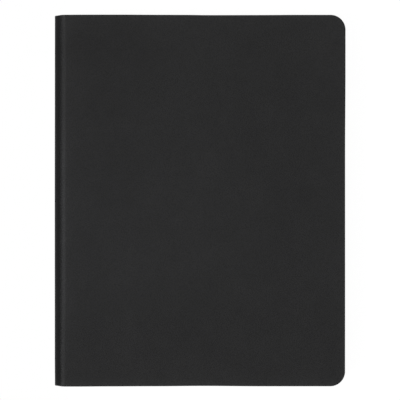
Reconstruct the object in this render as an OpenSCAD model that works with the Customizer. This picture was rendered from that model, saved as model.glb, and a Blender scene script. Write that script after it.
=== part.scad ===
// Case-bound weekly planner, closed and lying on its back cover.
// X runs from the spine to the fore edge, Y from the tail to the head and Z up through the thickness.
// The origin lies under the middle of the back cover.

/* [Pages] */
// Width of a page, from its fold to its fore edge
page_w = 215.9; // [140:0.1:240]
// Height of a page
page_h = 279.4; // [200:0.1:320]
// Radius of the two fore-edge corners of a page
page_corner_r = 8; // [3:0.5:16]
// Number of folded sections in the text block
sections = 5; // [3:1:8]
// Thickness of one pressed section
section_t = 1.8; // [1.4:0.05:2.6]
// Thickness of an endpaper
endpaper_t = 0.2; // [0.15:0.01:0.3]

/* [Covers] */
// Overhang of the covers past the pages at head and tail
head_square = 2.8; // [2:0.1:4]
// Overhang of the covers past the pages at the fore edge
fore_square = 3.6; // [2:0.1:5]
// Radius of the two fore-edge corners of a cover
corner_r = 11.2; // [7:0.1:18]
// Thickness of a cover board
board_t = 1.8; // [1.5:0.1:3]
// Rounding along the edges of a cover board
board_edge_r = 0.5; // [0.3:0.05:0.6]
// Thickness of the leatherette
skin_t = 0.4; // [0.3:0.02:0.5]
// Width of the leatherette turned in over the inside of a board
turn_in = 15; // [10:0.5:25]
// Leatherette left bare between a pastedown and the edge of the cover
bare_margin = 3; // [2:0.5:6]
// Number of creases where the leatherette is gathered round a corner
pleats = 5; // [3:1:9]
// Width of one of these creases
pleat_w = 0.35; // [0.2:0.05:0.6]
// Depth of one of these creases
pleat_depth = 0.15; // [0.05:0.01:0.2]
// Distance from the corner's centre to where a crease begins
pleat_from = 1.5; // [1:0.1:4]

/* [Spine] */
// Thickness of the card inside the spine
spine_card_t = 0.9; // [0.7:0.05:1.2]
// Distance between an edge of that card and the leatherette folded over it
card_gap = 0.15; // [0.1:0.01:0.3]
// Hollow between the spine card and the back of the pages
hollow = 1.8; // [1.4:0.1:3]
// Thickness of the cloth that lines the back of the pages
lining_t = 0.2; // [0.15:0.01:0.3]
// How far the shoulder of the spine lies below the face of the cover
shoulder_drop = 0.6; // [0.5:0.05:1]
// Rounding of the shoulder of the spine
shoulder_r = 0.9; // [0.7:0.05:1.2]
// How much shorter the spine is than the covers, at each end
spine_short = 0.5; // [0.3:0.1:1.5]
// Distance between the turned-in ends of the spine and the ends of the pages
hem_gap = 0.3; // [0.2:0.05:0.6]
// Rounding of the two ends of the spine, seen from the front
spine_corner_r = 1.6; // [1:0.1:3]

/* [Joints] */
// Distance from the back of the spine to where the groove's bottom begins
groove_from = 3.9; // [3.6:0.1:4.4]
// Width of the flat bottom of a groove
groove_w = 1.1; // [0.8:0.1:2]
// Width of the slope that rises from a groove to the face of the cover
slope_w = 3.8; // [3:0.1:5]
// How far up that slope the blunt edge of the board stands
board_setback = 1.5; // [1.2:0.1:1.8]
// Gap between the spine and a cover's leatherette, in the groove
joint_gap = 0.3; // [0.25:0.05:0.5]

/* [Head and tail bands] */
// Radius of the bead of a band
bead_r = 0.7; // [0.5:0.05:0.9]
// Thickness of the tape that carries the bead
tape_t = 0.3; // [0.2:0.05:0.5]
// Height of the tape glued to the back of the pages
tape_h = 9; // [6:0.5:14]
// Distance that a band keeps from the first and the last page
band_inset = 0.2; // [0.1:0.05:0.6]
// Distance between a tape and the lining cloth
lining_gap = 1; // [0.5:0.1:3]

/* [Hidden] */
$fn = 64;

leatherette_black = [0.17, 0.17, 0.175];
greyboard = [0.62, 0.58, 0.51];
endpaper_cream = [0.93, 0.90, 0.83];
page_white = [0.96, 0.95, 0.92];
cloth_white = [0.86, 0.85, 0.81];
band_black = [0.13, 0.13, 0.14];

// Thickness of the parts, from the inside out
block_t = sections * section_t;
wrapped_t = board_t + 2 * skin_t;
cover_t = wrapped_t + endpaper_t;
planner_t = 2 * (cover_t + endpaper_t) + block_t;
block_z = cover_t + endpaper_t;

// Distances from the back of the spine
card_x = skin_t;
back_x = skin_t + spine_card_t + hollow + lining_t;
fore_x = back_x + page_w;
cover_w = fore_x + fore_square;
groove_end = groove_from + groove_w;
slope_end = groove_end + slope_w;
lip_x = groove_end + joint_gap / 2;
strip_end = groove_end - joint_gap / 2;
board_x = groove_end + board_setback;
paste_x = board_x - joint_gap;

// Heights along the spine
cover_h = page_h + 2 * head_square;
spine_h = cover_h - 2 * spine_short;
card_h = spine_h - 2 * skin_t;
lining_h = page_h - 2 * (tape_h + lining_gap);

// Levels of the back cover, measured up from its face
board_z = skin_t;
inner_z = skin_t + board_t;
groove_z = wrapped_t - skin_t;
card_z = shoulder_drop + skin_t + card_gap;
card_w = planner_t - 2 * card_z;

curve_steps = 10;
over = 1;

// Points of a smooth slope that starts and ends level
function slope(from, to) = [
    for (i = [0:curve_steps])
        let (s = i / curve_steps)
        [from[0] + (to[0] - from[0]) * s, from[1] + (to[1] - from[1]) * (1 - cos(180 * s)) / 2]
];

// Points of an arc round a centre
function arc(centre, r, from, to) = [
    for (i = [0:curve_steps])
        let (a = from + (to - from) * i / curve_steps)
        centre + r * [cos(a), sin(a)]
];

// Points shifted by one vector
function shifted(points, by) = [for (p = points) p + by];

// The back of the spine lies at x = 0 while a piece is drawn, then the planner is centred
module centred() {
    translate([-cover_w / 2, 0, 0]) children();
}

// Carries a piece of the back cover over to the front cover
module to_front() {
    translate([0, 0, planner_t]) mirror([0, 0, 1]) children();
}

// Stands a drawing in X and Z up and sweeps it along Y, centred on the middle of the planner
module sweep_y(length) {
    translate([0, length / 2, 0]) rotate([90, 0, 0]) linear_extrude(length) children();
}

// Sheet with square corners at the spine and round ones at the fore edge
module leaf_outline(x0, x1, h, r) {
    translate([x0, -h / 2]) square([x1 - r - x0, h]);
    translate([x0, -h / 2 + r]) square([x1 - x0, h - 2 * r]);
    for (side = [-1, 1]) translate([x1 - r, side * (h / 2 - r)]) circle(r);
}

// Section across a rounded edge: a flat that ends in the two roundings of the edge
module edge_section(run, t, r) {
    square([run - r, t]);
    translate([0, r]) square([run, t - 2 * r]);
    for (z = [r, t - r]) translate([run - r, z]) circle(r);
}

// Plate whose head, tail, fore edge and corners all carry that section
module rounded_plate(x0, x1, h, t, corner, r) {
    x_c = x1 - corner;
    y_c = h / 2 - corner;
    translate([x0, -y_c, 0]) cube([x_c - x0, 2 * y_c, t]);
    translate([x_c, y_c, 0]) rotate([90, 0, 0]) linear_extrude(2 * y_c) edge_section(corner, t, r);
    for (side = [0, 1]) mirror([0, side, 0]) {
        translate([x0, y_c, 0]) rotate([90, 0, 90]) linear_extrude(x_c - x0) edge_section(corner, t, r);
        translate([x_c, y_c, 0]) rotate_extrude(angle = 90) edge_section(corner, t, r);
    }
}

// Everything on the inner side of the cover's face, which slopes down into the groove
module drape_region(x0, rise) {
    face = [for (p = slope([groove_end, groove_z], [slope_end, 0])) if (p[0] > x0) p];
    start = slope_height(x0);
    polygon(concat(
        [[x0, wrapped_t + over], [x0, start + rise]],
        shifted(face, [0, rise]),
        [[cover_w + over, rise], [cover_w + over, wrapped_t + over]]
    ));
}

// Height of the cover's face above a point on the slope
function slope_height(x) = groove_z * (1 + cos(180 * (x - groove_end) / slope_w)) / 2;

// Cover with its leatherette, as one shape
module wrapped_shape() {
    intersection() {
        rounded_plate(lip_x, cover_w, cover_h, wrapped_t, corner_r, board_edge_r + skin_t);
        sweep_y(cover_h + 2 * over) drape_region(lip_x, 0);
    }
}

// Room inside the leatherette of a cover, which the board fills up to its blunt edge
module board_room(x0) {
    intersection() {
        translate([0, 0, board_z]) rounded_plate(
            x0, cover_w - skin_t, cover_h - 2 * skin_t, board_t, corner_r - skin_t, board_edge_r
        );
        sweep_y(cover_h) drape_region(x0, skin_t);
    }
}

// Opening that the turned-in leatherette leaves over the inside of the board
module turn_in_window(x0, margin, z0, z1) {
    x1 = cover_w - turn_in - margin;
    y1 = cover_h / 2 - turn_in - margin;
    translate([x0, -y1, z0]) cube([x1 - x0, 2 * y1, z1 - z0]);
}

// Creases of the leatherette gathered round one corner
module corner_creases() {
    step = 90 / (pleats + 1);
    crease_to = corner_r - board_edge_r - skin_t;
    for (i = [1:pleats]) rotate([0, 0, i * step])
        translate([pleat_from, -pleat_w / 2, wrapped_t - pleat_depth])
            cube([crease_to - pleat_from, pleat_w, over]);
}

module cover_leatherette() {
    difference() {
        wrapped_shape();
        board_room(lip_x);
        intersection() {
            turn_in_window(lip_x - over, 0, inner_z, wrapped_t + over);
            sweep_y(cover_h) drape_region(lip_x, skin_t);
        }
        for (side = [0, 1]) mirror([0, side, 0])
            translate([cover_w - corner_r, cover_h / 2 - corner_r, 0]) corner_creases();
    }
}

// Sheet that lies on the turned-in leatherette and dips onto the board between
module cover_pastedown() {
    difference() {
        union() {
            translate([0, 0, wrapped_t]) linear_extrude(endpaper_t) leaf_outline(
                paste_x, cover_w - bare_margin, cover_h - 2 * bare_margin, corner_r - bare_margin
            );
            turn_in_window(paste_x, 0, inner_z, wrapped_t + endpaper_t);
        }
        turn_in_window(paste_x - over, endpaper_t, inner_z + endpaper_t, cover_t + over);
    }
}

module endpaper_leaf() {
    translate([0, 0, cover_t]) linear_extrude(endpaper_t)
        leaf_outline(back_x, fore_x, page_h, page_corner_r);
}

// Section across the pages, seen from the tail: a block with one round fold for each section
module folded_sections() {
    fold_r = section_t / 2;
    translate([back_x + fold_r, block_z]) square([page_w, block_t]);
    for (i = [0:sections - 1])
        translate([back_x + fold_r, block_z + (i + 0.5) * section_t]) circle(fold_r);
}

module text_block() {
    color(page_white) centred() intersection() {
        translate([0, 0, block_z]) linear_extrude(block_t)
            leaf_outline(back_x, fore_x, page_h, page_corner_r);
        sweep_y(page_h + 2 * over) folded_sections();
    }
}

module front_flyleaf() {
    color(endpaper_cream) centred() to_front() endpaper_leaf();
}

module back_flyleaf() {
    color(endpaper_cream) centred() endpaper_leaf();
}

// Cloth folded over the back of the pages, with a flange under each groove
module spine_lining() {
    flange_z = planner_t - 2 * wrapped_t;
    color(cloth_white) centred() difference() {
        translate([back_x - lining_t, -lining_h / 2, wrapped_t])
            cube([strip_end - back_x + lining_t, lining_h, flange_z]);
        translate([back_x, -lining_h / 2 - over, wrapped_t + lining_t])
            cube([page_w, lining_h + 2 * over, flange_z - 2 * lining_t]);
    }
}

// Bead on the ends of the pages, with the tape that holds it on their back
module page_band() {
    translate([0, 0, block_z + band_inset]) linear_extrude(block_t - 2 * band_inset) {
        translate([back_x - tape_t, page_h / 2 - tape_h]) square([tape_t, tape_h + bead_r]);
        translate([back_x - tape_t + bead_r, page_h / 2 + bead_r]) circle(bead_r);
    }
}

module head_band() {
    color(band_black) centred() page_band();
}

module tail_band() {
    color(band_black) centred() mirror([0, 1, 0]) page_band();
}

// Half of the leatherette over the spine, seen from the tail: back, shoulder and groove
module spine_half() {
    centre = [shoulder_r, shoulder_drop + shoulder_r];
    outer = concat(arc(centre, shoulder_r, 180, 270), shoulder_slope(0));
    inner = concat(arc(centre, shoulder_r - skin_t, 180, 270), shoulder_slope(skin_t));
    polygon(concat([[0, planner_t / 2]], outer, reversed(inner), [[skin_t, planner_t / 2]]));
}

// Slope from the shoulder down to the end of the groove's strip, some way inside its face
function shoulder_slope(depth) = concat(
    slope([shoulder_r, shoulder_drop + depth], [groove_from, groove_z + depth]),
    [[strip_end, groove_z + depth]]
);

// The same points from last to first
function reversed(points) = [for (i = [len(points) - 1:-1:0]) points[i]];

// Second layer of the strip, where its ends are turned in past the ends of the pages
module strip_hems() {
    from = page_h / 2 + hem_gap;
    for (side = [0, 1]) mirror([0, side, 0]) translate([0, (from + spine_h / 2) / 2, 0])
        sweep_y(spine_h / 2 - from) both_covers()
            polygon(concat(shoulder_slope(skin_t), reversed(shoulder_slope(2 * skin_t))));
}

// Draws a section once for the back cover's side and once for the front cover's side
module both_covers() {
    children();
    translate([0, planner_t]) mirror([0, 1]) children();
}

// Outline of the spine seen from the front, with its two outer corners rounded
module spine_outline(x0, x1, h, r) {
    mirror([1, 0]) leaf_outline(-x1, -x0, h, r);
}

// Outline of the spine card seen from the front, rounded like the leatherette round it
module card_outline() {
    intersection() {
        spine_outline(card_x, strip_end, card_h, spine_corner_r - skin_t);
        translate([card_x, -card_h / 2]) square([spine_card_t, card_h]);
    }
}

// Leatherette folded over the ends of the spine card and of the strips in the grooves
module spine_turn_ins() {
    difference() {
        union() {
            for (side = [0, 1]) mirror([0, side, 0]) translate([0, spine_h / 2 - turn_in, card_z])
                cube([card_x + spine_card_t + skin_t, turn_in, card_w]);
            strip_hems();
        }
        linear_extrude(planner_t) card_outline();
    }
}

module spine_leatherette() {
    color(leatherette_black) centred() intersection() {
        union() {
            sweep_y(spine_h) both_covers() spine_half();
            spine_turn_ins();
        }
        linear_extrude(planner_t) spine_outline(0, strip_end, spine_h, spine_corner_r);
    }
}

// Section of the spine card, with its two outer edges rounded like the shoulders
module card_section() {
    r = shoulder_r - skin_t;
    translate([card_x + r, card_z]) square([spine_card_t - r, card_w]);
    translate([card_x, card_z + r]) square([spine_card_t, card_w - 2 * r]);
    for (z = [card_z + r, card_z + card_w - r]) translate([card_x + r, z]) circle(r);
}

module spine_card() {
    color(greyboard) centred() intersection() {
        linear_extrude(planner_t) card_outline();
        sweep_y(card_h) card_section();
    }
}

module front_board() {
    color(greyboard) centred() to_front() board_room(board_x);
}

module back_board() {
    color(greyboard) centred() board_room(board_x);
}

module front_leatherette() {
    color(leatherette_black) centred() to_front() cover_leatherette();
}

module back_leatherette() {
    color(leatherette_black) centred() cover_leatherette();
}

module front_pastedown() {
    color(endpaper_cream) centred() to_front() cover_pastedown();
}

module back_pastedown() {
    color(endpaper_cream) centred() cover_pastedown();
}

text_block();
front_flyleaf();
back_flyleaf();
spine_lining();
head_band();
tail_band();
spine_card();
spine_leatherette();
front_board();
front_leatherette();
front_pastedown();
back_board();
back_leatherette();
back_pastedown();
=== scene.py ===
import bpy
import math
import random
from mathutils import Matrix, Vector, noise


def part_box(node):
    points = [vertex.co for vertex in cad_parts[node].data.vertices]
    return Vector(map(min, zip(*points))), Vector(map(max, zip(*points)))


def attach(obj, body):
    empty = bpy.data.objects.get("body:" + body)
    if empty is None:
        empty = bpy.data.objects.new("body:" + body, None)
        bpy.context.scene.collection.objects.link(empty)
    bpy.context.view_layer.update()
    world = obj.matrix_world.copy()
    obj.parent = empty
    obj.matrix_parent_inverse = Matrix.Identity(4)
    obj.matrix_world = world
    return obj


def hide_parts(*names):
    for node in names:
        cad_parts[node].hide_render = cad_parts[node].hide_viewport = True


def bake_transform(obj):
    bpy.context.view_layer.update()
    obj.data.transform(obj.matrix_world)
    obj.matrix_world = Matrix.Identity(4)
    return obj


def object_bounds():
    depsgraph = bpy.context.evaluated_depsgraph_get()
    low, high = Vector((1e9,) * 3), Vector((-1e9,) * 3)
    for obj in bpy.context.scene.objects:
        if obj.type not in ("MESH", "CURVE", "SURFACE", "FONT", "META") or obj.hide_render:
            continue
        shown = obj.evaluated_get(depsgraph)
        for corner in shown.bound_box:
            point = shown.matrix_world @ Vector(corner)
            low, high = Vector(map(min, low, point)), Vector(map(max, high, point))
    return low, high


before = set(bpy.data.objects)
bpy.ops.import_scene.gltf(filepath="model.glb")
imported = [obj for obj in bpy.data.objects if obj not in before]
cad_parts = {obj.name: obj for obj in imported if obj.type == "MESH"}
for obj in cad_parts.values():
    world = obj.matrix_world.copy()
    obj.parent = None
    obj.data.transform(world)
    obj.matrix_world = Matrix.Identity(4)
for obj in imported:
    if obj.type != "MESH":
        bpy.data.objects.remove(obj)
cadLow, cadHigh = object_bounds()
mm = 0.001
bookSize = [(cadHigh[i] - cadLow[i]) / mm for i in range(3)]
bookWidth, bookHeight, bookThick = bookSize
print("frame loaded, the planner is", " x ".join(str(round(size, 1)) for size in bookSize), "mm")


# Millimetres everywhere: u from the back of the spine, y up the cover, z up from the table
def spot(u, y, z):
    return Vector(((u - bookWidth / 2) * mm, y * mm, z * mm))


def nodeBox(name):
    return [(x / mm + bookWidth / 2, y / mm, z / mm) for x, y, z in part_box(name)]


def ease(t):
    t = min(max(t, 0.0), 1.0)
    return (1 - math.cos(math.pi * t)) / 2


def mix(a, b, t):
    return a + (b - a) * t


# Values from a start through several spans, each given as its end and its step
def stations(start, *spans):
    values = [start]
    for end, step in spans:
        first = values[-1]
        count = max(1, round(abs(end - first) / step))
        values += [mix(first, end, k / count) for k in range(1, count + 1)]
    return values


def gridFaces(rows, columns):
    faces = []
    for i in range(rows - 1):
        for j in range(columns - 1):
            a = i * columns + j
            faces.append((a, a + columns, a + columns + 1, a + 1))
    return faces


# Closed rings of n points, each joined to the next, with a flat cap at both ends
def ringFaces(count, n):
    faces = [tuple(range(n))[::-1], tuple(range((count - 1) * n, count * n))]
    for i in range(count - 1):
        for j in range(n):
            a, b = i * n + j, i * n + (j + 1) % n
            faces.append((a, b, b + n, a + n))
    return faces


def makePiece(name, points, faces, sheetPlaces=None, turnedOver=False, sheenWeights=None):
    if turnedOver:  # the back cover is made like the front one, then turned over
        points = [(p[0], p[1], bookThick - p[2]) for p in points]
        faces = [f[::-1] for f in faces]
    mesh = bpy.data.meshes.new(name)
    mesh.from_pydata([spot(*p) for p in points], [], faces)
    mesh.update()
    if sheetPlaces:
        layer = mesh.uv_layers.new(name="sheet")
        for loop in mesh.loops:
            layer.data[loop.index].uv = sheetPlaces[loop.vertex_index]
    # weights of the painted sheen near the edges and round the folds
    if sheenWeights:
        mesh.attributes.new("edgeSheen", "FLOAT", "POINT").data.foreach_set("value", sheenWeights)
    mesh.polygons.foreach_set("use_smooth", [True] * len(mesh.polygons))
    piece = bpy.data.objects.new(name, mesh)
    bpy.context.collection.objects.link(piece)
    return piece


def thicken(piece, amount):
    solid = piece.modifiers.new("thickness", "SOLIDIFY")
    solid.thickness = amount * mm
    solid.offset = -1


# Leatherette case, one sheet on the real planner and three pieces here

caseShape = {
    "skin": 0.34,           # thickness of the leatherette
    "crestU": 0.9,          # top of the spine's shoulder
    "crestZ": 14.4,
    "crestSteps": 8,
    "shoulderStep": 0.2,
    "grooveFrom": 4.5,      # bottom of the groove
    "grooveTo": 4.85,
    "grooveZ": 12.8,
    "slopeRun": 3.8,        # slope up to the cover board
    "settle": 0.4,          # share of that rise which comes slowly, over the board
    "settleRun": 6.0,
    "slant": 0.8,           # how far the slope drifts towards the spine at the tail
    "slantFrom": -60,
    "slantRun": 80,
    "cornerR": 11.5,
    "cornerSteps": 30,
    "inset": 0.9,           # face ends this far inside the outline
    "roll": 0.9,            # radius of the rolled edges
    "rollShare": 0.49,      # most of the fold's depth that the radius may take
    "rollStep": 15,         # degrees
    "leastFlat": 0.03,
    "hemDepth": 0.8,        # two layers, where no board lies between
    "underZ": 12.4,         # turned-in layer under the board
    "underFrom": 5,
    "underRun": 1.2,
    "turnIn": 15.0,         # how far it goes in under the board
    "turnInRun": 1.4,
    "hem": 2.0,             # and at the joint and the shoulder
    "hemShares": (0.03, 0.08, 0.14, 0.2, 0.3, 0.45, 0.7, 1.0),
    "windowR": 0.8,         # corners of the bare window in the turned-in layer
    "drawnFromU": 185,      # hem is drawn together towards the corners from here
    "drawnFromY": 110,
    "pleats": 6,
    "pleatDepth": 0.13,
    "pleatStart": 0.08,     # share of the turned-in edge over which a pleat rises
    "edgeDrop": 0.3,        # face falls off a little towards its edges
    "edgeDropRun": 3.5,
    "edgeDropFrom": 7,      # but not in the groove
    "edgeDropGrow": 4,
    "endPull": 0.75,        # spine is this much shorter than the covers
    "endPullFrom": 1.2,
    "endPullRun": 4.1,
    "wave": 0.02,           # slight unevenness of the cover
    "waveSize": 42,
    "waveLayer": 3.1,
    "waveFrom": 9,
    "waveGrow": 12,
    "sheenRun": 3.2,          # painted sheen: the lighter colour fades over this far from an edge
    "foldSheenTo": 3.0,       # and beyond this length round the fold
    "foldSheenRun": 1.5,
    # how far the edges bow in, at distances along them
    "headBow": [
        (0, 0.05), (30, 0.02), (50, 0.01), (80, 0.14), (100, 0.2),
        (118, 0.4), (150, 0.35), (190, 0.19), (223, 0.19),
    ],
    "tailBow": [(0, 0.0), (14, 0.0), (40, 0.16), (75, 0.3), (114, 0.55), (160, 0.28), (223, 0.28)],
    "foreBow": [(-143, 0.36), (-60, 0.3), (35, 0.3), (100, 0.02), (143, 0.0)],
    "spineBow": [(-143, 0.14), (-120, 0.05), (0, 0.0), (90, 0.08), (143, 0.12)],
    "foreBowFrom": 120,
    "spineBowTo": 60,
    # mesh columns as ends and steps, and mesh rows as distances from head and tail
    "columns": [(9, 0.2), (14, 0.7), (30, 1.6), (200, 4), (208, 2)],
    "columnStep": 0.9,
    "edgeRows": [0, 0.4, 0.9, 1.5, 2.2, 3, 4, 5.2, 6.8, 9, 12, 16],
    "rowStep": 4,
}
seamU = (caseShape["crestU"] + caseShape["grooveFrom"]) / 2
cornerU = bookWidth - caseShape["cornerR"]
cornerY = bookHeight / 2 - caseShape["cornerR"]


def coverZ(u, y):
    s = caseShape
    if u < s["grooveFrom"]:
        return mix(s["crestZ"], s["grooveZ"], ease((u - s["crestU"]) / (s["grooveFrom"] - s["crestU"])))
    x = max(0.0, u - s["grooveTo"] + s["slant"] * ease((s["slantFrom"] - y) / s["slantRun"]))
    slow = 1 - (s["settleRun"] * math.exp(-x / s["settleRun"]) - math.exp(-x)) / (s["settleRun"] - 1)
    rise = (1 - s["settle"]) * ease(x / s["slopeRun"]) + s["settle"] * slow
    z = mix(s["grooveZ"], bookThick - s["wave"], rise)
    fall = math.exp(-(edgeDistance(u, y) - s["inset"]) / s["edgeDropRun"])
    z -= s["edgeDrop"] * ease((u - s["edgeDropFrom"]) / s["edgeDropGrow"]) * fall
    uneven = noise.noise(Vector((u / s["waveSize"], y / s["waveSize"], s["waveLayer"])))
    return z + s["wave"] * ease((u - s["waveFrom"]) / s["waveGrow"]) * uneven


def edgeDistance(u, y):
    if u > cornerU and abs(y) > cornerY:
        return caseShape["cornerR"] - math.hypot(u - cornerU, abs(y) - cornerY)
    return min(bookWidth - u, headY(u) - abs(y))


# Weight of the painted sheen, which lightens the leatherette near its edges
def sheenAt(distance):
    return math.exp(-max(0, distance - caseShape["inset"]) / caseShape["sheenRun"])


def headY(u):
    s = caseShape
    return bookHeight / 2 - s["endPull"] * (1 - ease((u - s["endPullFrom"]) / s["endPullRun"]))


def shoulderNormal(u):
    s = caseShape
    run = s["grooveFrom"] - s["crestU"]
    fall = (s["crestZ"] - s["grooveZ"]) * math.pi / 2 / run * math.sin(math.pi * (u - s["crestU"]) / run)
    return Vector((fall, 0, 1)).normalized()


# Where the fold's other side lies, straight through from a point of the face
def underPoint(u, z):
    s = caseShape
    if u < s["grooveFrom"]:
        return Vector((u, 0, z)) - shoulderNormal(u) * s["hemDepth"]
    rise = ease((u - s["underFrom"]) / s["underRun"])
    return Vector((u, 0, mix(s["grooveZ"] - s["hemDepth"], s["underZ"], rise)))


# Points from the edge of a face, round the fold and in over the other side, each with the length so far
def foldOver(edge, under, out, target, creased):
    s = caseShape
    depth = under - edge
    down = depth.normalized()
    r = min(s["roll"], depth.length * s["rollShare"])
    straight = s["inset"] - r
    turns = [math.radians(s["rollStep"] * k) for k in range(1, 90 // s["rollStep"] + 1)]
    places = [edge + out * max(straight, s["leastFlat"])]
    for a in turns:
        places.append(edge + out * (straight + r * math.sin(a)) + down * r * (1 - math.cos(a)))
    places.append(edge + out * s["inset"] + down * depth.length / 2)
    for a in [0.0] + turns:
        places.append(edge + out * (straight + r * math.cos(a)) + down * (depth.length - r + r * math.sin(a)))
    lip = places[-1]
    for share in s["hemShares"]:
        raised = down * s["pleatDepth"] * creased * min(1, share / s["pleatStart"]) * (1 - share)
        places.append(lip.lerp(target, share) - raised)
    lengths, far, last = [], 0.0, edge
    for p in places:
        far += (p - last).length
        lengths.append(far)
        last = p
    return places, lengths


# Adds the fold that starts at one vertex of a face's edge, and gives its vertices
def addFold(points, places, sheenWeights, vertex, under, out, target, creased=0.0):
    strip = [vertex]
    for p, far in zip(*foldOver(Vector(points[vertex]), under, out, target, creased)):
        strip.append(len(points))
        points.append(tuple(p))
        places.append((places[vertex][0] + out[0] * far, places[vertex][1] + out[1] * far))
        # the painted sheen is full round the fold and fades beyond it
        sheenWeights.append(math.exp(-max(0, far - caseShape["foldSheenTo"]) / caseShape["foldSheenRun"]))
    return strip


# Rows of the face from tail to head, as shares of its half height
def rowShares():
    edgeRows = caseShape["edgeRows"]
    half = bookHeight / 2 - caseShape["inset"]
    upper = [half - d for d in edgeRows] + stations(half - edgeRows[-1], (0, caseShape["rowStep"]))[1:]
    return [-y / half for y in upper] + [y / half for y in reversed(upper[:-1])]


def bowAt(bows, place):
    for (a, bowA), (b, bowB) in zip(bows, bows[1:]):
        if place <= b:
            return mix(bowA, bowB, ease((place - a) / (b - a)))
    return bows[-1][1]


# The real case isn't quite straight: its edges bow in by a few tenths of a millimetre
def bowed(p):
    u, y, z = p
    s = caseShape
    near = abs(2 * y / bookHeight) ** 3
    moved = y - math.copysign(near, y) * bowAt(s["headBow"] if y > 0 else s["tailBow"], u)
    u -= bowAt(s["foreBow"], y) * max(0, (u - s["foreBowFrom"]) / (bookWidth - s["foreBowFrom"])) ** 2
    u += bowAt(s["spineBow"], y) * max(0, 1 - u / s["spineBowTo"]) ** 2
    return (u, moved, z)


def squeezed(value, start, end, newEnd):
    return value if value < start else mix(start, newEnd, (value - start) / (end - start))


def makeCover(name, turnedOver=False):
    s = caseShape
    shares = rowShares()
    rows = len(shares)
    faceR = s["cornerR"] - s["inset"]
    cornerSteps = s["cornerSteps"]
    columns = [(u, 0.0) for u in stations(seamU, *s["columns"], (cornerU, s["columnStep"]))]
    columns += [(None, math.pi / 2 * k / cornerSteps) for k in range(1, cornerSteps + 1)]
    points, places, sheenWeights, halves = [], [], [], []
    along, lastZ = 0.0, None
    for u, a in columns:
        if u is None:
            u, half = cornerU + faceR * math.sin(a), cornerY + faceR * math.cos(a)
        else:
            half = headY(u) - s["inset"]
        z = coverZ(u, 0)
        along += math.hypot(u - halves[-1][0], z - lastZ) if halves else 0
        lastZ = z
        halves.append((u, half, a))
        for share in shares:
            points.append((u, share * half, coverZ(u, share * half)))
            places.append((along, share * half))
            sheenWeights.append(sheenAt(edgeDistance(u, share * half)))
    faces = gridFaces(len(columns), rows)

    windowU = bookWidth - s["turnIn"]
    windowY = bookHeight / 2 - s["turnIn"]
    roundU, roundY = windowU - s["windowR"], windowY - s["windowR"]
    lastColumn = (len(columns) - 1) * rows
    rim = []  # vertex of the face, direction out, target of the turned-in edge, crease
    for side in (-1, 1):
        end = []
        for i, (u, half, a) in enumerate(halves):
            out = Vector((math.sin(a), side * math.cos(a), 0))
            if a:
                target = Vector((roundU, side * roundY, s["underZ"])) + out * s["windowR"]
            else:
                cut = mix(s["hem"], s["turnIn"], ease((u - s["underFrom"]) / s["turnInRun"]))
                under = underPoint(u, coverZ(u, side * half))
                drawnU = squeezed(under[0], s["drawnFromU"], cornerU, roundU)
                target = Vector((drawnU, side * (headY(u) - cut), under[2]))
            step = i - (len(halves) - 1 - cornerSteps)
            perPleat = cornerSteps // s["pleats"]
            creased = 1 - (step % perPleat) / perPleat if 0 < step < cornerSteps else 0.0
            end.append((i * rows + (0 if side < 0 else rows - 1), out, target, creased))
        if side < 0:
            rim += end
            for j in range(1, rows - 1):
                y = points[lastColumn + j][1]
                cutY = math.copysign(squeezed(abs(y), s["drawnFromY"], cornerY, roundY), y)
                rim.append((lastColumn + j, Vector((1, 0, 0)), Vector((windowU, cutY, s["underZ"])), 0.0))
        else:
            rim += reversed(end)

    previous = None
    for vertex, out, target, creased in rim:
        edge = Vector(points[vertex])
        under = underPoint(edge[0], edge[2])
        under[1] = edge[1]
        strip = addFold(points, places, sheenWeights, vertex, under, out, target, creased)
        if previous:
            for k in range(len(strip) - 1):
                faces.append((previous[k], previous[k + 1], strip[k + 1], strip[k]))
        previous = strip
    flip, start = (-1, -spineLength) if turnedOver else (1, 0.0)
    places = [((start + flip * a) * mm, b * mm) for a, b in places]
    cover = makePiece(name, [bowed(p) for p in points], faces, places, turnedOver, sheenWeights)
    thicken(cover, s["skin"])
    return cover


# Section of the spine from the front cover's seam over the shoulder to the middle of its back
def spineSection():
    s = caseShape
    section = []
    for u in stations(seamU, (s["crestU"], s["shoulderStep"])):
        section.append((Vector((u, 0, coverZ(u, 0))), shoulderNormal(u)))
    centre = Vector((s["crestU"], 0, s["crestZ"] - s["crestU"]))
    for k in range(1, s["crestSteps"] + 1):
        a = math.radians(90 + 90 * k / s["crestSteps"])
        normal = Vector((math.cos(a), 0, math.sin(a)))
        section.append((centre + normal * s["crestU"], normal))
    for z in stations(centre[2], (bookThick / 2, 1))[1:]:
        section.append((Vector((0, 0, z)), Vector((-1, 0, 0))))
    return section


spineShape = {
    "endDepth": 1.7,       # leatherette, card and turned-in leatherette
    "hemToU": 1.95,        # hem keeps its small depth down to here
    "flatZ": 12.9,         # and lies flat on the card below this level
}


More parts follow.
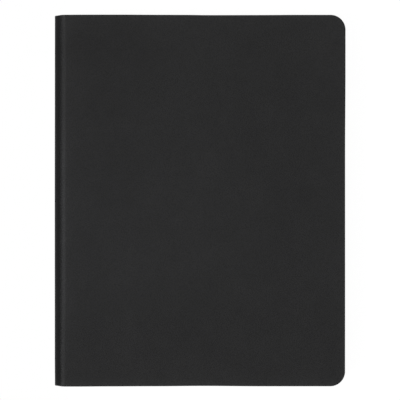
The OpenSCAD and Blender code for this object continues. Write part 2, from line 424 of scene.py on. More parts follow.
def makeSpine(name):
    s = caseShape
    half = spineSection()
    hemEnd = next(k for k, (p, normal) in enumerate(half) if p[0] < spineShape["hemToU"])
    flatFrom = next(k for k, (p, normal) in enumerate(half) if p[0] == 0 and p[2] < spineShape["flatZ"])
    hemPoint = half[hemEnd][0] - half[hemEnd][1] * s["hemDepth"]
    flatPoint = Vector((spineShape["endDepth"], 0, half[flatFrom][0][2]))
    section = []
    for k, (p, normal) in enumerate(half):
        t = min(max((k - hemEnd) / (flatFrom - hemEnd), 0), 1)
        if k <= hemEnd:
            under = p - normal * s["hemDepth"]
        elif k < flatFrom:
            under = hemPoint.lerp(flatPoint, t)
        else:
            under = Vector((spineShape["endDepth"], 0, p[2]))
        section.append((p, under, mix(s["hem"], s["turnIn"], t)))
    for p, under, cut in reversed(section[:-1]):
        p, under = [Vector((q[0], 0, bookThick - q[2])) for q in (p, under)]
        section.append((p, under, cut))

    shares = rowShares()
    rows = len(shares)
    points, places, sheenWeights, along = [], [], [], 0.0
    for k, (p, under, cut) in enumerate(section):
        along -= (p - section[k - 1][0]).length if k else 0
        for share in shares:
            y = share * (headY(p[0]) - s["inset"])
            points.append((p[0], y, p[2]))
            places.append((along, y))
            sheenWeights.append(sheenAt(headY(p[0]) - abs(y)))
    faces = [f[::-1] for f in gridFaces(len(section), rows)]
    for side in (-1, 1):
        previous = None
        for k, (p, under, cut) in enumerate(section):
            vertex = k * rows + (0 if side < 0 else rows - 1)
            under = Vector((under[0], points[vertex][1], under[2]))
            target = Vector((under[0], side * (headY(p[0]) - cut), under[2]))
            strip = addFold(points, places, sheenWeights, vertex, under, Vector((0, side, 0)), target)
            if previous:
                for j in range(len(strip) - 1):
                    face = (previous[j], strip[j], strip[j + 1], previous[j + 1])
                    faces.append(face if side < 0 else face[::-1])
            previous = strip
    places = [(a * mm, b * mm) for a, b in places]
    spine = makePiece(name, [bowed(p) for p in points], faces, places, sheenWeights=sheenWeights)
    thicken(spine, s["skin"])
    return spine


spineLength = 2 * sum((b[0] - a[0]).length for a, b in zip(spineSection(), spineSection()[1:]))
spineLeatherette = makeSpine("spineLeatherette")
frontLeatherette = makeCover("frontLeatherette")
backLeatherette = makeCover("backLeatherette", turnedOver=True)
print("leatherette case made")


# Boards, cut to the leatherette's shape less its thickness

boardShape = {
    "fromU": 6.6,
    "skin": 0.4,
    "underZ": 12.8,
    "edge": 0.35,          # rounding along the edges
    "columns": [(12, 0.6), (30, 2), (200, 8)],
    "columnStep": 3,
    "cornerStep": 0.11,
    "rowShares": [-1, -0.99, -0.97, -0.92, -0.82, -0.6, -0.3, 0, 0.3, 0.6, 0.82, 0.92, 0.97, 0.99, 1],
}


def makeBoard(name, turnedOver=False):
    b = boardShape
    r = caseShape["cornerR"] - b["skin"]
    straight = stations(b["fromU"], *b["columns"], (cornerU, b["columnStep"]))
    turns = stations(0, (math.pi / 2, b["cornerStep"]))[1:]
    columns = [(u, headY(u) - b["skin"], 0.0) for u in straight]
    columns += [(cornerU + r * math.sin(a), cornerY + r * math.cos(a), a) for a in turns]
    rows = len(b["rowShares"])
    count = len(columns) * rows
    points = []
    for level in ("top", "under"):
        for u, half, a in columns:
            inU = u - b["edge"] * math.sin(a)
            for share in b["rowShares"]:
                y = share * (half - b["edge"])
                points.append((inU, y, coverZ(inU, y) - b["skin"] if level == "top" else b["underZ"]))
    faces = gridFaces(len(columns), rows)
    faces += [tuple(k + count for k in f[::-1]) for f in faces]
    head = [(i * rows + rows - 1, math.sin(a), math.cos(a)) for i, (u, half, a) in enumerate(columns)]
    rim = [(k - rows + 1, outU, -outY) for k, outU, outY in head]
    rim += [((len(columns) - 1) * rows + j, 1, 0) for j in range(1, rows - 1)]
    rim += reversed(head)
    outer = []
    for k, outU, outY in rim:
        u, y, top = points[k]
        outer.append((k, len(points)))
        for z in (top - b["edge"], b["underZ"] + b["edge"]):
            points.append((u + outU * b["edge"], y + outY * b["edge"], z))
    for (k, m), (k2, m2) in zip(outer, outer[1:]):
        faces += [(k, m, m2, k2), (m, m + 1, m2 + 1, m2), (m + 1, k + count, k2 + count, m2 + 1)]
    (k, m), (k2, m2) = outer[0], outer[-1]  # blunt edge at the joint
    jointTop = (k + count, m + 1, m, k, *range(1, rows - 1), k2, m2, m2 + 1)
    faces.append((*jointTop, *[count + j for j in range(rows - 1, 0, -1)]))
    board = makePiece(name, [bowed(p) for p in points], faces, turnedOver=turnedOver)
    for polygon in board.data.polygons:
        polygon.use_smooth = False
    return board


frontBoard = makeBoard("frontBoard")
backBoard = makeBoard("backBoard", turnedOver=True)
print("boards made")


# Endpapers, each pasted to its cover

endpaperShape = {
    "thick": 0.14,
    "startU": 3.95,
    "rimZ": 12.23,        # on the turned-in leatherette
    "panZ": 12.63,        # on the bare board
    "panFrom": 5.2,
    "panRun": 1.5,
    "stepWidth": 1.4,     # slope between the two levels
    "cornerR": 8.2,
    "cornerSteps": 14,
    "wave": 0.02,
    "waveAcross": 30,
    "waveAlong": 38,
    "waveLayer": 7.7,
    "columns": [(8, 0.2), (16, 1), (200, 5), (206, 1.5), (208.2, 0.22)],
    "columnStep": 1.2,
    "edgeRows": [0, 2, 5, 8, 10, 11, 11.8, 12.1, 12.35, 12.6, 12.85, 13.1, 13.4, 13.8, 14.5, 16, 20],
    "rowStep": 5,
}


def endpaperZ(u, y):
    e, turnIn = endpaperShape, caseShape["turnIn"]
    insideU = ease((bookWidth - turnIn - u) / e["stepWidth"]) * ease((u - e["panFrom"]) / e["panRun"])
    insideY = ease((bookHeight / 2 - turnIn - abs(y)) / e["stepWidth"])
    z = mix(e["rimZ"], e["panZ"], insideU * insideY)
    uneven = noise.noise(Vector((u / e["waveAcross"], y / e["waveAlong"], e["waveLayer"])))
    return z + e["wave"] * insideU * insideY * (uneven - 1) / 2


def makeEndpaper(name, cadName, turnedOver=False):
    e = endpaperShape
    low, high = nodeBox(cadName)
    foreU, halfY, r = high[0], high[1], e["cornerR"]
    upper = [halfY - d for d in e["edgeRows"]]
    upper += stations(halfY - e["edgeRows"][-1], (0, e["rowStep"]))[1:]
    ys = [-y for y in upper] + upper[-2::-1]
    columns = [(u, halfY) for u in stations(e["startU"], *e["columns"], (foreU - r, e["columnStep"]))]
    for k in range(1, e["cornerSteps"] + 1):
        a = math.pi / 2 * k / e["cornerSteps"]
        columns.append((foreU - r + r * math.sin(a), halfY - r + r * math.cos(a)))
    points = [(u, y / halfY * half, endpaperZ(u, y / halfY * half)) for u, half in columns for y in ys]
    faces = [f[::-1] for f in gridFaces(len(columns), len(ys))]
    places = [(p[0] * mm, p[1] * mm) for p in points]
    paper = makePiece(name, [bowed(p) for p in points], faces, places, turnedOver)
    thicken(paper, e["thick"])
    return paper


frontEndpaper = makeEndpaper("frontEndpaper", "front_pastedown")
backEndpaper = makeEndpaper("backEndpaper", "back_pastedown", turnedOver=True)
print("endpapers made")


# Pages, a stack of leaves folded into sections at the back

pageShape = {
    "leaves": 80,
    "sections": 5,
    "cornerR": 8.0,
    "cornerSteps": 10,
    "outlineStep": 26,
    "leafFrom": 0.1,      # levels within a leaf, as shares of its thickness
    "leafTo": 0.86,
    "gapAt": 0.98,
    "gap": 0.2,           # depth of the line between two leaves
    "sectionGap": 0.45,
    "uneven": 0.045,      # how far the leaves' edges differ
    "wave": 0.035,        # and how far each edge wanders
    "waveSize": 60,
    "waveSpread": 50,
    "seed": 11,
}


def leafOutline(backU, foreU, halfY, out, wavy):
    g = pageShape
    r = g["cornerR"]
    ends = stations(backU, (foreU - r, g["outlineStep"]))
    arc = [math.pi / 2 * k / g["cornerSteps"] for k in range(g["cornerSteps"] + 1)]
    outline = [(u, -halfY) for u in ends[:-1]]
    outline += [(foreU - r + r * math.sin(a), -halfY + r - r * math.cos(a)) for a in arc]
    outline += [(foreU, y) for y in stations(-halfY + r, (halfY - r, g["outlineStep"]))[1:-1]]
    outline += [(foreU - r + r * math.cos(a), halfY - r + r * math.sin(a)) for a in arc]
    outline += [(u, halfY) for u in reversed(ends[:-1])]
    moved = []
    for u, y in outline:
        push = out + wavy * noise.noise(Vector((u / g["waveSize"], y / g["waveSize"], out * g["waveSpread"])))
        du = 1 if u > foreU - r else 0
        dy = math.copysign(1, y) if abs(y) > halfY - r else 0
        moved.append((u + push * du, y + push * dy))
    return moved


def makePages(name):
    g = pageShape
    low, high = nodeBox("text_block")
    backU, foreU, halfY = low[0], high[0], high[1]
    leafT = (high[2] - low[2]) / g["leaves"]
    perSection = g["leaves"] // g["sections"]
    foldR = leafT * perSection / 2
    dice = random.Random(g["seed"])
    rings = []
    for k in range(g["leaves"]):
        z = low[2] + k * leafT
        inSection = (k % perSection + 0.5) * leafT - foldR
        foldU = backU + foldR - math.sqrt(max(foldR ** 2 - inSection ** 2, 0))
        out = -abs(dice.gauss(0, g["uneven"]))
        edge = leafOutline(foldU, foreU, halfY, out, g["wave"])
        gap = g["sectionGap"] if k % perSection == perSection - 1 else g["gap"]
        inner = leafOutline(foldU + gap, foreU, halfY, out - gap, 0)
        rings += [(edge, z + g["leafFrom"] * leafT), (edge, z + g["leafTo"] * leafT)]
        if k < g["leaves"] - 1:
            rings.append((inner, z + g["gapAt"] * leafT))
    rings[0] = (rings[0][0], low[2])
    rings[-1] = (rings[-1][0], high[2])
    n = len(rings[0][0])
    points = [(u, y, z) for ring, z in rings for u, y in ring]
    pages = makePiece(name, points, ringFaces(len(rings), n))
    for edge in pages.data.edges:
        edge.use_edge_sharp = edge.vertices[0] // n == edge.vertices[1] // n
    return pages


pageStack = makePages("pageStack")
print("pages made")


# Head and tail bands, a thread wound over a core

bandShape = {
    "beadR": 0.62,
    "beadFrom": -100,     # degrees, where the bead leaves the tape
    "beadTurn": 280,
    "beadSteps": 14,
    "ridge": 0.07,
    "pitch": 0.55,
    "turnSteps": 8,
    "tape": 0.28,
    "tuck": 0.7,          # tape ends this far below the bead's middle, as a share of its radius
    "endShares": (0.45, 0.55),  # of the radius, at the very ends and added over the end's run
    "endRun": 0.5,
    "endLeast": 0.02,
}


def makeBand(name, cadName, atTail=False):
    b = bandShape
    low, high = nodeBox(cadName)
    side = -1 if atTail else 1
    tip = -low[1] if atTail else high[1]
    root = -high[1] if atTail else low[1]
    radius = (high[0] - low[0]) / 2
    centreU, centreY, tapeU = low[0] + radius, tip - radius, low[0] + b["tape"]
    rings = []
    for z in stations(low[2], (high[2], b["pitch"] / b["turnSteps"])):
        toEnd = min(z - low[2], high[2] - z)
        wound = b["ridge"] * abs(math.sin(math.pi * z / b["pitch"]))
        grown = math.sqrt(min(1, toEnd / b["endRun"] + b["endLeast"]))
        r = (b["beadR"] + wound) * (b["endShares"][0] + b["endShares"][1] * grown)
        ring = [(low[0], root), (tapeU, root), (tapeU, centreY - b["tuck"] * r)]
        for k in range(b["beadSteps"] + 1):
            a = math.radians(b["beadFrom"] + b["beadTurn"] * k / b["beadSteps"])
            ring.append((centreU + r * math.cos(a), centreY + r * math.sin(a)))
        rings.append((ring, z))
    points = [(u, side * y, z) for ring, z in rings for u, y in ring]
    faces = ringFaces(len(rings), len(rings[0][0]))
    return makePiece(name, points, [f[::-1] for f in faces] if atTail else faces)


headBand = makeBand("headBand", "head_band")
tailBand = makeBand("tailBand", "tail_band", atTail=True)


# Cloth over the backs of the sections, with a narrow flange at each joint

liningShape = {
    "thick": 0.12,
    "flangeU": 3.85,
    "flangeStep": 0.15,
    "inset": 0.03,        # within its solid
    "bend": 0.2,
    "bendSteps": 6,
    "backStep": 0.9,
    "rowStep": 6,
}


def makeLining(name):
    c = liningShape
    low, high = nodeBox("spine_lining")
    outerU, topZ = low[0] + c["inset"], high[2] - c["inset"]
    half = [(u, topZ) for u in stations(c["flangeU"], (outerU + c["bend"], c["flangeStep"]))]
    for k in range(1, c["bendSteps"] + 1):
        a = math.pi / 2 * k / c["bendSteps"]
        half.append((outerU + c["bend"] * (1 - math.sin(a)), topZ - c["bend"] * (1 - math.cos(a))))
    half += [(outerU, z) for z in stations(topZ - c["bend"], (bookThick / 2, c["backStep"]))[1:]]
    section = half + [(u, bookThick - z) for u, z in reversed(half[:-1])]
    ys = stations(low[1], (high[1], c["rowStep"]))
    points = [(u, y, z) for u, z in section for y in ys]
    lining = makePiece(name, points, [f[::-1] for f in gridFaces(len(section), len(ys))])
    thicken(lining, c["thick"])
    return lining


spineLining = makeLining("spineLining")
print("bands and lining made")


# What each piece rides on and stands for: the block's pieces and the boards ride on their bodies, the covers'
# leatherette and endpapers only have their placing applied, and the parts they stand for are hidden

grooveZ = caseShape["grooveZ"]
for piece, cover, level, nodeName, slotName in [
    (frontLeatherette, "front_cover", grooveZ, "front_leatherette", "leatherette"),
    (backLeatherette, "back_cover", bookThick - grooveZ, "back_leatherette", "leatherette"),
    (frontEndpaper, "front_cover", grooveZ, "front_pastedown", "endpaper"),
    (backEndpaper, "back_cover", bookThick - grooveZ, "back_pastedown", "endpaper"),
]:
    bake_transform(piece)
    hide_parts(nodeName)
for piece, body, nodeName, slotName in [
    (spineLeatherette, "book_block", "spine_leatherette", "leatherette"),
    (pageStack, "book_block", "text_block", "pages"),
    (headBand, "book_block", "head_band", "band_cloth"),
    (tailBand, "book_block", "tail_band", "band_cloth"),
    (spineLining, "book_block", "spine_lining", "lining_cloth"),
    (frontBoard, "front_cover", "front_board", "greyboard"),
    (backBoard, "back_cover", "back_board", "greyboard"),
]:
    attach(piece, body)
    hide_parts(nodeName)


# Finishes

def newGroup(name, inputs, outputs):
    group = bpy.data.node_groups.new(name, "ShaderNodeTree")
    group.interface.new_socket("Place", in_out="INPUT", socket_type="NodeSocketVector")
    for label, value in inputs.items():
        socket = group.interface.new_socket(label, in_out="INPUT", socket_type="NodeSocketFloat")
        socket.default_value = value
    for label in outputs:
        group.interface.new_socket(label, in_out="OUTPUT", socket_type="NodeSocketFloat")
    return group, group.nodes.new("NodeGroupInput"), group.nodes.new("NodeGroupOutput")


def addNode(tree, kind, settings=None, values=None):
    node = tree.nodes.new(kind)
    for key, value in (settings or {}).items():
        setattr(node, key, value)
    for key, value in (values or {}).items():
        node.inputs[key].default_value = value
    return node


def addMath(tree, operation, *sources):
    node = addNode(tree, "ShaderNodeMath", {"operation": operation})
    for k, source in enumerate(sources):
        if isinstance(source, (int, float)):
            node.inputs[k].default_value = source
        else:
            tree.links.new(source, node.inputs[k])
    return node.outputs[0]


def addRange(tree, source, span, low=0.0, high=1.0):
    values = {"From Min": span[0], "From Max": span[1], "To Min": low, "To Max": high}
    node = addNode(tree, "ShaderNodeMapRange", {}, values)
    tree.links.new(source, node.inputs["Value"])
    return node.outputs["Result"]


def addNoise(tree, place, scale, values, settings=None):
    node = addNode(tree, "ShaderNodeTexNoise", settings, values)
    tree.links.new(place, node.inputs["Vector"])
    tree.links.new(scale, node.inputs["Scale"])
    return node


# Soft clouds, a size in millimetres across
def makeCloudGroup():
    group, given, out = newGroup("cloudiness", {"Size": 20.0, "Shift": 0.0}, ["Tone"])
    scale = addMath(group, "DIVIDE", 1.0, given.outputs["Size"])
    values = {"Detail": 3.0, "Roughness": 0.55, "Distortion": 0.4}
    clouds = addNoise(group, given.outputs["Place"], scale, values, {"noise_dimensions": "4D"})
    group.links.new(given.outputs["Shift"], clouds.inputs["W"])
    group.links.new(addRange(group, clouds.outputs["Fac"], (0.3, 0.7)), out.inputs["Tone"])
    return group


grainLook = {
    "warp": 0.9,           # how far the pebbles are pushed out of line, as a share of their size
    "dome": (0.1, 0.75),   # from a pebble's top to its foot
    "domeShare": 0.75,     # of the height, and the rest is the finer texture
    "fineRate": 2.6,
    "valleyShade": (0.55, 0.2),  # heights where the painted shade between the pebbles starts and is full
    "glintRate": 0.9,      # pebbles each lighter or darker as a whole, which masks the painted glints
    "glint": (0.36, 0.64),
}


# Pebbled grain with fine pores between the pebbles, with masks for the painted shade between them and the
# painted glints on them
def makeGrainGroup():
    g = grainLook
    group, given, out = newGroup("grain", {"Pebble": 0.8, "Softness": 0.5}, ["Height", "ValleyShade", "Glint"])
    place = given.outputs["Place"]
    scale = addMath(group, "DIVIDE", 1.0, given.outputs["Pebble"])
    bend = addNoise(group, place, scale, {"Detail": 2.0, "Roughness": 0.6})
    shift = addNode(group, "ShaderNodeVectorMath", {"operation": "SCALE"})
    group.links.new(bend.outputs["Color"], shift.inputs[0])
    group.links.new(addMath(group, "MULTIPLY", given.outputs["Pebble"], g["warp"]), shift.inputs["Scale"])
    moved = addNode(group, "ShaderNodeVectorMath", {"operation": "ADD"})
    group.links.new(place, moved.inputs[0])
    group.links.new(shift.outputs[0], moved.inputs[1])
    pebbles = addNode(group, "ShaderNodeTexVoronoi", {"feature": "SMOOTH_F1"})
    group.links.new(moved.outputs[0], pebbles.inputs["Vector"])
    group.links.new(scale, pebbles.inputs["Scale"])
    group.links.new(given.outputs["Softness"], pebbles.inputs["Smoothness"])
    dome = addRange(group, pebbles.outputs["Distance"], g["dome"], 1.0, 0.0)
    fineScale = addMath(group, "MULTIPLY", scale, g["fineRate"])
    fine = addNoise(group, place, fineScale, {"Detail": 3.0, "Roughness": 0.65}).outputs["Fac"]
    domeHeight = addMath(group, "MULTIPLY", dome, g["domeShare"])
    height = addMath(group, "ADD", domeHeight, addMath(group, "MULTIPLY", fine, 1 - g["domeShare"]))
    group.links.new(height, out.inputs["Height"])
    group.links.new(addRange(group, height, g["valleyShade"]), out.inputs["ValleyShade"])
    glints = addNoise(group, place, addMath(group, "MULTIPLY", scale, g["glintRate"]), {"Detail": 0.0})
    group.links.new(addRange(group, glints.outputs["Fac"], g["glint"]), out.inputs["Glint"])
    return group


fibreLook = {
    "layers": [(0.4, 6.0), (2.2, 5.0)],  # turn in radians, and how much narrower than long
    "fleck": (0.33, 0.46),
}


# Paper or board fibres that lie at random, with a few darker flecks
def makeFibreGroup():
    group, given, out = newGroup("fibres", {"Length": 1.2}, ["Height", "Fleck"])
    scale = addMath(group, "DIVIDE", 1.0, given.outputs["Length"])
    layers = []
    for turn, stretch in fibreLook["layers"]:
        turned = addNode(group, "ShaderNodeMapping", {}, {"Rotation": (0, 0, turn), "Scale": (1, stretch, 1)})
        group.links.new(given.outputs["Place"], turned.inputs["Vector"])
        values = {"Detail": 2.0, "Roughness": 0.5, "Distortion": 0.8}
        layers.append(addNoise(group, turned.outputs[0], scale, values).outputs["Fac"])
    group.links.new(addMath(group, "MULTIPLY", addMath(group, "ADD", *layers), 0.5), out.inputs["Height"])
    crossed = addMath(group, "MULTIPLY", *layers)
    group.links.new(addRange(group, crossed, fibreLook["fleck"]), out.inputs["Fleck"])
    return group


# Plain weave, with the thread's pitch in millimetres
def makeWeaveGroup():
    group, given, out = newGroup("weave", {"Pitch": 0.6}, ["Height", "Gap"])
    split = addNode(group, "ShaderNodeSeparateXYZ")
    group.links.new(given.outputs["Place"], split.inputs[0])
    rate = addMath(group, "DIVIDE", math.pi, given.outputs["Pitch"])
    threads = []
    for run in (addMath(group, "ADD", split.outputs["X"], split.outputs["Z"]), split.outputs["Y"]):
        wave = addMath(group, "SINE", addMath(group, "MULTIPLY", run, rate))
        threads.append(addMath(group, "ABSOLUTE", wave))
    over = addMath(group, "MAXIMUM", *threads)
    crossed = addMath(group, "ADD", over, addMath(group, "MULTIPLY", *threads))
    group.links.new(addMath(group, "MULTIPLY", crossed, 0.5), out.inputs["Height"])
    group.links.new(addRange(group, over, (0.35, 0.7), 1.0, 0.0), out.inputs["Gap"])
    return group


cloudGroup = makeCloudGroup()
grainGroup = makeGrainGroup()
fibreGroup = makeFibreGroup()
weaveGroup = makeWeaveGroup()


def newMaterial(name, finish):
    material = bpy.data.materials.new(name)
    material.use_nodes = True
    shader = material.node_tree.nodes["Principled BSDF"]
    shader.inputs["Specular IOR Level"].default_value = finish["specular"]
    if isinstance(finish["roughness"], float):
        shader.inputs["Roughness"].default_value = finish["roughness"]
    return material, material.node_tree, shader


# Place on the sheet or in the piece, in millimetres
def placeInMm(tree, onSheet=False):
    if onSheet:
        source = addNode(tree, "ShaderNodeUVMap", {"uv_map": "sheet"}).outputs["UV"]
    else:
        source = addNode(tree, "ShaderNodeTexCoord").outputs["Object"]
    inMm = addNode(tree, "ShaderNodeVectorMath", {"operation": "SCALE"}, {"Scale": 1 / mm})
    tree.links.new(source, inMm.inputs[0])
    return inMm.outputs[0]


def addGroup(tree, group, place, values):
    node = addNode(tree, "ShaderNodeGroup", {"node_tree": group}, values)
    tree.links.new(place, node.inputs["Place"])
    return node


# From one colour to another, each plain or coming from the surface
def addTint(tree, factor, dark, light):
    node = addNode(tree, "ShaderNodeMix", {"data_type": "RGBA"})
    tree.links.new(factor, node.inputs["Factor"])
    for slotIndex, colour in ((6, dark), (7, light)):
        if isinstance(colour, tuple):
            node.inputs[slotIndex].default_value = (*colour, 1)
        else:
            tree.links.new(colour, node.inputs[slotIndex])
    return node.outputs[2]


def addBump(tree, shader, height, depth):
    bump = addNode(tree, "ShaderNodeBump", {}, {"Distance": depth * mm})
    tree.links.new(height, bump.inputs["Height"])
    tree.links.new(bump.outputs["Normal"], shader.inputs["Normal"])


leatheretteFinish = {
    "dark": (0.01198, 0.01202, 0.01238),
    "light": (0.01744, 0.01746, 0.01793),
    "clouds": [(70.0, 0.4, 9235.0), (24.0, 0.35, 1621.0), (6.0, 0.25, 2.0)],  # sizes, shares and shifts; besides the leatherette's own mottling, the larger clouds are shifted so that they paint shade towards head and tail near the spine and light midway along it
    "pebble": 0.75,
    "softness": 0.4,
    "depth": 0.09,
    # painted shade in the hollows between the pebbles
    "valleyShade": (0.005, 0.005, 0.0053),
    "valleyShadeMix": 0.72,
    # painted sheen: lighter colour on the edges and round the folds, where they catch the light
    "edgeSheen": (0.0224, 0.0226, 0.0232),
    "edgeSheenLeast": 0.6,  # share of the painted sheen where the smallest clouds are dark
    "jointTones": [(0.0065, 0.0066, 0.0068), (0.0287, 0.0292, 0.0299)],  # painted glints: pebbles darker and lighter, lighter on the whole, in the highlight along the joint
    "jointGlintFrom": (0.2, 1.6),  # distances from the seam over which they come in
    "jointTo": (2.6, 9.0),    # and over which they fade
    "roughness": (0.7, 0.8),
    "specular": 0.3,
}


def makeLeatherette():
    f = leatheretteFinish
    material, tree, shader = newMaterial("matteLeatherette", f)
    place = placeInMm(tree, onSheet=True)
    tones = []
    for size, share, shift in f["clouds"]:
        clouds = addGroup(tree, cloudGroup, place, {"Size": size, "Shift": shift})
        tones.append(addMath(tree, "MULTIPLY", clouds.outputs["Tone"], share))
    tone = addMath(tree, "ADD", addMath(tree, "ADD", tones[0], tones[1]), tones[2])
    grain = addGroup(tree, grainGroup, place, {"Pebble": f["pebble"], "Softness": f["softness"]})
    colour = addTint(tree, tone, f["dark"], f["light"])

    # Painted glints on the joint's slope, where it catches the light: the pebbles speckled darker and lighter
    split = addNode(tree, "ShaderNodeSeparateXYZ")
    tree.links.new(place, split.inputs[0])
    fromSpine = addMath(tree, "ABSOLUTE", addMath(tree, "ADD", split.outputs["X"], spineLength / 2))
    fromSeam = addMath(tree, "SUBTRACT", fromSpine, spineLength / 2)
    begun, left = addRange(tree, fromSeam, f["jointGlintFrom"]), addRange(tree, fromSeam, f["jointTo"], 1.0, 0.0)
    pebbles = addTint(tree, grain.outputs["Glint"], *f["jointTones"])
    colour = addTint(tree, addMath(tree, "MULTIPLY", begun, left), colour, pebbles)

    # Painted sheen near the edges and round the folds, in patches
    sheenWeights = addNode(tree, "ShaderNodeAttribute", {"attribute_name": "edgeSheen"}).outputs["Fac"]
    sheenPatches = addRange(tree, tones[2], (0.0, f["clouds"][2][1]), f["edgeSheenLeast"])
    colour = addTint(tree, addMath(tree, "MULTIPLY", sheenWeights, sheenPatches), colour, f["edgeSheen"])
    # painted shade between the pebbles
    valleyShades = addMath(tree, "MULTIPLY", grain.outputs["ValleyShade"], f["valleyShadeMix"])
    tree.links.new(addTint(tree, valleyShades, colour, f["valleyShade"]), shader.inputs["Base Color"])
    smooth, rough = f["roughness"]
    tree.links.new(addRange(tree, tone, (0.0, 1.0), rough, smooth), shader.inputs["Roughness"])
    addBump(tree, shader, grain.outputs["Height"], f["depth"])
    return material


endpaperFinish = {
    "base": (0.80, 0.755, 0.64),
    "shade": (0.75, 0.70, 0.58),
    "clouds": {"Size": 9.0, "Shift": 4.0},
    "fleck": (0.62, 0.55, 0.43),
    "fleckMix": 0.25,
    "fibre": 1.1,
    "depth": 0.012,
    "roughness": 0.75,
    "specular": 0.25,
}
greyboardFinish = {
    "base": (0.36, 0.32, 0.25),
    "shade": (0.27, 0.235, 0.18),
    "clouds": {"Size": 5.0, "Shift": 1.0},
    "fleck": (0.14, 0.12, 0.10),
    "fleckMix": 0.6,
    "fibre": 1.8,
    "depth": 0.05,
    "roughness": 0.85,
    "specular": 0.2,
}


def makePaper(name, finish, onSheet=False):
    material, tree, shader = newMaterial(name, finish)
    place = placeInMm(tree, onSheet)
    clouds = addGroup(tree, cloudGroup, place, finish["clouds"])
    fibres = addGroup(tree, fibreGroup, place, {"Length": finish["fibre"]})
    face = addTint(tree, clouds.outputs["Tone"], finish["shade"], finish["base"])
    flecks = addMath(tree, "MULTIPLY", fibres.outputs["Fleck"], finish["fleckMix"])
    tree.links.new(addTint(tree, flecks, face, finish["fleck"]), shader.inputs["Base Color"])
    addBump(tree, shader, fibres.outputs["Height"], finish["depth"])
    return material


pageFinish = {
    "base": (0.83, 0.80, 0.72),
    "shade": (0.70, 0.665, 0.58),
    "leafStretch": (0.04, 0.04, 5.0),
    "leafTones": (0.3, 0.7),
    "fleck": (0.30, 0.28, 0.24),
    "fleckMix": 0.2,
    "fibre": 0.7,
    "depth": 0.02,
    "roughness": 0.8,
    "specular": 0.2,
}


def makePageEdges():
    f = pageFinish
    material, tree, shader = newMaterial("pageEdges", f)
    place = placeInMm(tree)
    flat = addNode(tree, "ShaderNodeMapping", {}, {"Scale": f["leafStretch"]})
    tree.links.new(place, flat.inputs["Vector"])
    leaves = addNode(tree, "ShaderNodeTexNoise", {}, {"Scale": 1.0, "Detail": 2.0, "Roughness": 0.7})
    tree.links.new(flat.outputs[0], leaves.inputs["Vector"])
    fibres = addGroup(tree, fibreGroup, place, {"Length": f["fibre"]})
    face = addTint(tree, addRange(tree, leaves.outputs["Fac"], f["leafTones"]), f["shade"], f["base"])
    flecks = addMath(tree, "MULTIPLY", fibres.outputs["Fleck"], f["fleckMix"])
    tree.links.new(addTint(tree, flecks, face, f["fleck"]), shader.inputs["Base Color"])
    addBump(tree, shader, leaves.outputs["Fac"], f["depth"])
    return material


liningFinish = {
    "thread": (0.72, 0.70, 0.62),
    "gap": (0.40, 0.37, 0.30),
    "pitch": 0.7,
    "roughness": 0.9,
}
bandFinish = {
    "thread": (0.022, 0.022, 0.024),
    "gap": (0.008, 0.008, 0.009),
    "pitch": 0.28,
    "roughness": 0.6,
}
clothFinish = {"shade": 0.85, "clouds": {"Size": 3.0, "Shift": 6.0}, "depth": 0.06, "specular": 0.2}


def makeCloth(name, finish):
    f = {**clothFinish, **finish}
    material, tree, shader = newMaterial(name, f)
    place = placeInMm(tree)
    weave = addGroup(tree, weaveGroup, place, {"Pitch": f["pitch"]})
    clouds = addGroup(tree, cloudGroup, place, f["clouds"])
    face = addTint(tree, clouds.outputs["Tone"], tuple(f["shade"] * c for c in f["thread"]), f["thread"])
    tree.links.new(addTint(tree, weave.outputs["Gap"], face, f["gap"]), shader.inputs["Base Color"])
    addBump(tree, shader, weave.outputs["Height"], f["depth"])
    return material


leatherette = makeLeatherette()
endpaper = makePaper("endpaperPasted", endpaperFinish, onSheet=True)
flyleafPaper = makePaper("flyleafPaper", endpaperFinish)
pageEdges = makePageEdges()
greyboard = makePaper("greyboard", greyboardFinish)
liningCloth = makeCloth("liningCloth", liningFinish)
bandCloth = makeCloth("bandThread", bandFinish)

for piece, material in [
    (frontLeatherette, leatherette), (backLeatherette, leatherette), (spineLeatherette, leatherette),
    (frontEndpaper, endpaper), (backEndpaper, endpaper), (pageStack, pageEdges),
    (headBand, bandCloth), (tailBand, bandCloth), (spineLining, liningCloth),
    (frontBoard, greyboard), (backBoard, greyboard),
]:
    piece.data.materials.append(material)
for nodeName, material in [
    ("front_flyleaf", flyleafPaper), ("back_flyleaf", flyleafPaper), ("spine_card", greyboard),
]:
    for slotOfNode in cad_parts[nodeName].material_slots:
        slotOfNode.material = material
print("finishes made")


# Table, light and camera

studio = {
    "tableEdge": 0.009,       # from the back of the spine
    "tableReach": 4.0,
    "tableZ": -0.0002,
    "floorTone": 0.92,
    "floorSeen": 0.12,        # tone that the camera sees, so that the shadow shows faintly on the white
    "floorWhite": 0.93,
    "roomLight": 0.615,
    "horizonLight": 1.0,      # pale walls, up to this height
    "wallHeight": 0.16,
    "window": {"from": (-0.852, -0.310, 0.423), "strength": 1.93, "softness": 30},
    "glow": {
        "from": (-0.74, -0.012, 0.36),
        "aim": (-0.15, -0.016, 0),
        "watts": 3.9,
        "cone": 19.5,
        "size": 0.05,
        "tint": (0.83, 0.87, 1.0),
    },
    "lens": 135.0,
    "sensor": 36.0,
    "cameraSees": (0.01, 50),
    "cameraPlace": (-0.000086, 0.00048, 1.1628),
}

# The planner's spine lies just over the left edge of the table, so its back cover can swing open beside it
edgeX, farX, tableZ = cadLow[0] + studio["tableEdge"], studio["tableReach"], studio["tableZ"]
tableCorners = [(edgeX, -farX, tableZ), (farX, -farX, tableZ), (farX, farX, tableZ), (edgeX, farX, tableZ)]
tableMesh = bpy.data.meshes.new("table")
tableMesh.from_pydata(tableCorners, [], [(0, 1, 2, 3)])
table = bpy.data.objects.new("table", tableMesh)
bpy.context.collection.objects.link(table)

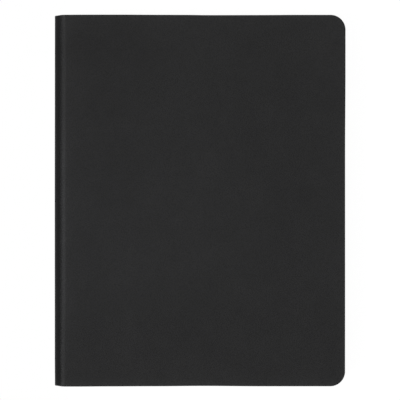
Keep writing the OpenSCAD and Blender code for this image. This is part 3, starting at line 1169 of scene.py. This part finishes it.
whiteTable = bpy.data.materials.new("whiteTable")
whiteTable.use_nodes = True
tree = whiteTable.node_tree
tree.nodes.clear()
rays = addNode(tree, "ShaderNodeLightPath").outputs
mirrored = addMath(tree, "MAXIMUM", rays["Is Glossy Ray"], rays["Is Transmission Ray"])
seen = addMath(tree, "MAXIMUM", rays["Is Camera Ray"], mirrored)
paint = addNode(tree, "ShaderNodeBsdfDiffuse")
tones = [(studio[key],) * 3 for key in ("floorTone", "floorSeen")]
tree.links.new(addTint(tree, seen, *tones), paint.inputs["Color"])
white = addNode(tree, "ShaderNodeEmission", {}, {"Color": (1, 1, 1, 1)})
tree.links.new(addMath(tree, "MULTIPLY", seen, studio["floorWhite"]), white.inputs["Strength"])
both = addNode(tree, "ShaderNodeAddShader")
tree.links.new(paint.outputs[0], both.inputs[0])
tree.links.new(white.outputs[0], both.inputs[1])
tree.links.new(both.outputs[0], addNode(tree, "ShaderNodeOutputMaterial").inputs["Surface"])
tableMesh.materials.append(whiteTable)

world = bpy.data.worlds.new("studioWorld")
bpy.context.scene.world = world
world.use_nodes = True
tree = world.node_tree
tree.nodes.clear()
towards = addNode(tree, "ShaderNodeSeparateXYZ")
tree.links.new(addNode(tree, "ShaderNodeTexCoord").outputs["Generated"], towards.inputs[0])
heights = (studio["wallHeight"], 2 * studio["wallHeight"])
level = addRange(tree, towards.outputs["Z"], heights, studio["horizonLight"], studio["roomLight"])
roomLight = addNode(tree, "ShaderNodeBackground", {}, {"Color": (1, 1, 1, 1)})
tree.links.new(level, roomLight.inputs["Strength"])
tree.links.new(roomLight.outputs[0], addNode(tree, "ShaderNodeOutputWorld").inputs["Surface"])


def addLamp(name, kind, place, aim):
    data = bpy.data.lights.new(name, kind)
    lamp = bpy.data.objects.new(name, data)
    lamp.location = place
    lamp.rotation_euler = (Vector(aim) - Vector(place)).to_track_quat("-Z", "Y").to_euler()
    bpy.context.collection.objects.link(lamp)
    return data


window = addLamp("window", "SUN", studio["window"]["from"], (0, 0, 0))
window.energy = studio["window"]["strength"]
window.angle = math.radians(studio["window"]["softness"])
glow = addLamp("glow", "SPOT", studio["glow"]["from"], studio["glow"]["aim"])
glow.energy = studio["glow"]["watts"]
glow.color = studio["glow"]["tint"]
glow.spot_size = math.radians(studio["glow"]["cone"])
glow.spot_blend = 1.0
glow.shadow_soft_size = studio["glow"]["size"]

cameraData = bpy.data.cameras.new("camera")
cameraData.lens = studio["lens"]
cameraData.sensor_width = studio["sensor"]
cameraData.clip_start, cameraData.clip_end = studio["cameraSees"]
camera = bpy.data.objects.new("camera", cameraData)
camera.location = studio["cameraPlace"]
bpy.context.collection.objects.link(camera)
bpy.context.scene.camera = camera
bpy.context.scene.view_settings.view_transform = "Standard"
print("studio made")
